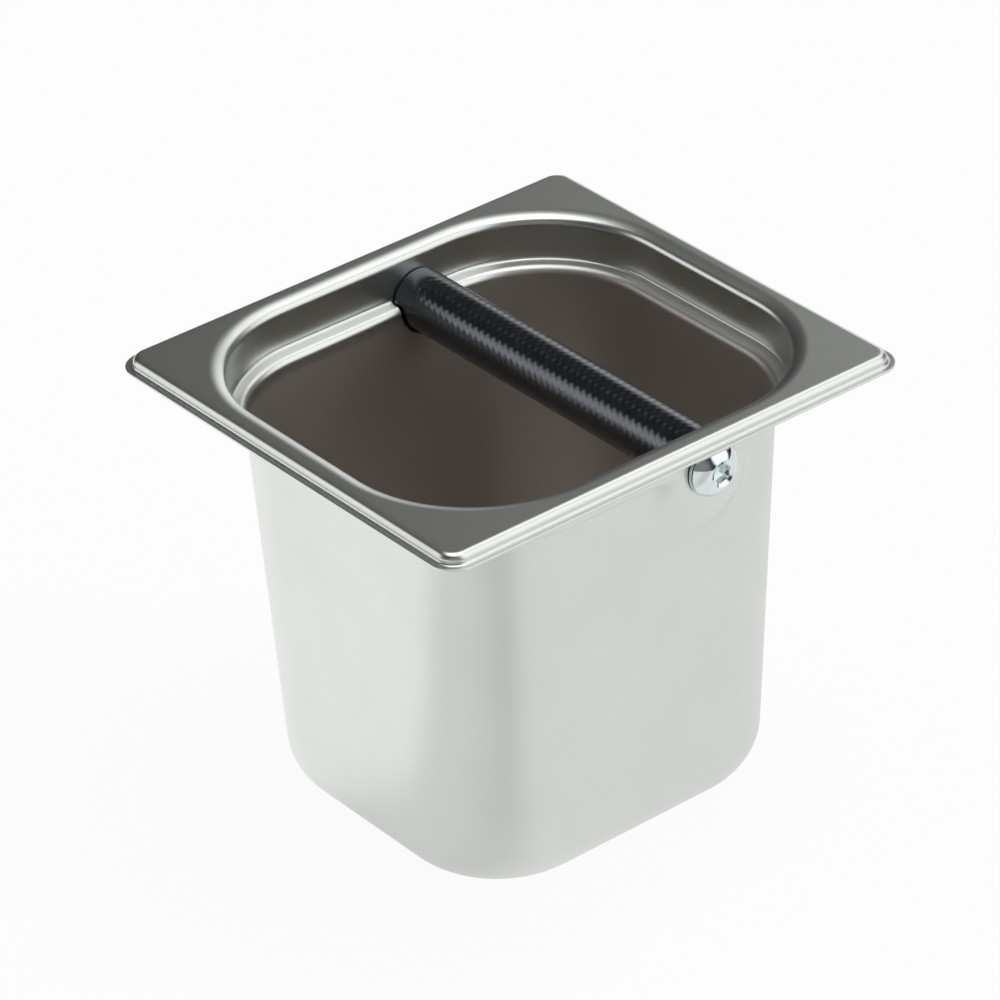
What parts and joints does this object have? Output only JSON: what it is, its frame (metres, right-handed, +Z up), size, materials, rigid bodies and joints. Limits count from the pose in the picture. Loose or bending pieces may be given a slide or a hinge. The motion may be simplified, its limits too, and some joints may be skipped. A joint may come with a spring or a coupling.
{
  "type": "espresso knock box",
  "caption": "Espresso knock box: a tapered stainless steel pan with a wide flat rim and a rubber-sleeved knock bar screwed across its mouth.",
  "frame": {"origin": "middle of the pan's flat base, on the surface it stands on", "axes": "+Z up out of the mouth, +X along the rim's longer sides towards the end that the bar is nearer to, +Y along the bar towards the rear screw"},
  "size_m": [0.176, 0.162, 0.15],
  "materials": {
    "pan_steel": "satin stainless steel",
    "rod_steel": "plain turned steel",
    "hose_rubber": "black hose with a cloth imprint",
    "bright_zinc": "bright zinc plate"
  },
  "bodies": {
    "box": {"pan": "pan_steel", "knock_bar_rod": "rod_steel"},
    "sleeve": {"rubber_sleeve": "hose_rubber"},
    "front_washer": {"front_washer": "bright_zinc"},
    "front_screw": {"front_screw": "bright_zinc"},
    "rear_washer": {"rear_washer": "bright_zinc"},
    "rear_screw": {"rear_screw": "bright_zinc"}
  },
  "joints": [
    {"name": "sleeve_turn", "type": "hinge", "parent": "box", "child": "sleeve", "pos_m": [0.0193, 0, 0.1335], "axis": [0, 1, 0], "continuous": true},
    {"name": "front_washer_draw", "type": "slide", "parent": "box", "child": "front_washer", "axis": [0, -1, 0], "range_m": [0, 0.01651]},
    {"name": "front_screw_turn", "type": "hinge", "parent": "front_washer", "child": "front_screw", "pos_m": [0.0193, -0.075, 0.1335], "axis": [0, -1, 0], "range_deg": [0, 3960]},
    {"name": "rear_washer_draw", "type": "slide", "parent": "box", "child": "rear_washer", "axis": [0, 1, 0], "range_m": [0, 0.01651]},
    {"name": "rear_screw_turn", "type": "hinge", "parent": "rear_washer", "child": "rear_screw", "pos_m": [0.0193, 0.075, 0.1335], "axis": [0, 1, 0], "range_deg": [0, 3960]}
  ],
  "couplings": [
    {"joint": "front_washer_draw", "follows": "front_screw_turn", "m_per_rad": 0.00023873},
    {"joint": "rear_washer_draw", "follows": "rear_screw_turn", "m_per_rad": 0.00023873}
  ]
}
